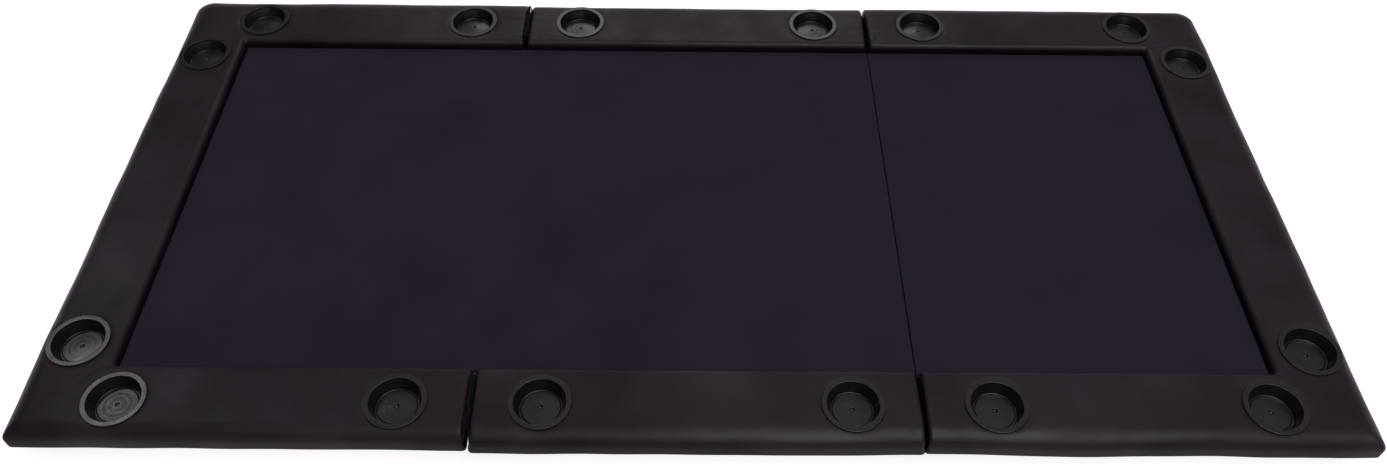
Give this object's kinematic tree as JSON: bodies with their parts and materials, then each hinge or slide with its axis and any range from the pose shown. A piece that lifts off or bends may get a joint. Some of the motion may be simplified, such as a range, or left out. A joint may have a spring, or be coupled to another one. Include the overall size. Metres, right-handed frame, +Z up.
{
  "type": "folding poker table top",
  "caption": "Rectangular folding card table top in hinged sections, with a felt playing surface, a padded vinyl rail and drop-in cup holders.",
  "frame": {"origin": "on the floor below the middle of the table, which lies open on its feet", "axes": "+X along the long side, +Y across it away from the near side, +Z up out of the playing surface"},
  "size_m": [2.134, 1.067, 0.0536],
  "materials": {
    "vinyl": "dark padded vinyl, fine leather grain, soft sheen",
    "felt": "short-pile felt, near black with a violet cast, matt",
    "cup_plastic": "moulded black plastic, satin rim",
    "board": "medium-density fibreboard, sealed",
    "core_wood": "sawn softwood",
    "foam": "open-cell foam",
    "black_steel": "black powder-coated steel",
    "rubber": "moulded rubber"
  },
  "bodies": {
    "middle": {"board_middle": "board", "cup_middle_far_left": "cup_plastic", "cup_middle_far_right": "cup_plastic", "cup_middle_near_left": "cup_plastic", "cup_middle_near_right": "cup_plastic", "felt_middle": "felt", "foot_middle_far": "rubber", "foot_middle_near": "rubber", "lower_hinge_far_leaf_middle": "black_steel", "lower_hinge_far_pin": "black_steel", "lower_hinge_near_leaf_middle": "black_steel", "lower_hinge_near_pin": "black_steel", "rail_core_middle_far": "core_wood", "rail_core_middle_near": "core_wood", "rail_cover_middle_far": "vinyl", "rail_cover_middle_near": "vinyl", "rail_pad_middle_far": "foam", "rail_pad_middle_near": "foam", "underlay_middle": "foam", "upper_hinge_far_leaf_middle": "black_steel", "upper_hinge_far_pin": "black_steel", "upper_hinge_near_leaf_middle": "black_steel", "upper_hinge_near_pin": "black_steel"},
    "left": {"board_left": "board", "cup_left_end_far": "cup_plastic", "cup_left_end_near": "cup_plastic", "cup_left_far_corner": "cup_plastic", "cup_left_far_joint": "cup_plastic", "cup_left_near_corner": "cup_plastic", "cup_left_near_joint": "cup_plastic", "felt_left": "felt", "foot_left_far_corner": "rubber", "foot_left_far_joint": "rubber", "foot_left_near_corner": "rubber", "foot_left_near_joint": "rubber", "rail_core_left": "core_wood", "rail_cover_left": "vinyl", "rail_pad_left": "foam", "underlay_left": "foam", "upper_hinge_far_leaf_left": "black_steel", "upper_hinge_near_leaf_left": "black_steel"},
    "right": {"board_right": "board", "cup_right_end_far": "cup_plastic", "cup_right_end_near": "cup_plastic", "cup_right_far_corner": "cup_plastic", "cup_right_far_joint": "cup_plastic", "cup_right_near_corner": "cup_plastic", "cup_right_near_joint": "cup_plastic", "felt_right": "felt", "foot_right_far_corner": "rubber", "foot_right_far_joint": "rubber", "foot_right_near_corner": "rubber", "foot_right_near_joint": "rubber", "lower_hinge_far_leaf_right": "black_steel", "lower_hinge_near_leaf_right": "black_steel", "rail_core_right": "core_wood", "rail_cover_right": "vinyl", "rail_pad_right": "foam", "underlay_right": "foam"}
  },
  "joints": [
    {"name": "left_fold", "type": "hinge", "parent": "middle", "child": "left", "pos_m": [-0.35567, 0, 0.0514], "axis": [0, 1, 0], "range_deg": [0, 180]},
    {"name": "right_fold", "type": "hinge", "parent": "middle", "child": "right", "pos_m": [0.35567, 0, 0.0029], "axis": [0, 1, 0], "range_deg": [0, 180]}
  ]
}
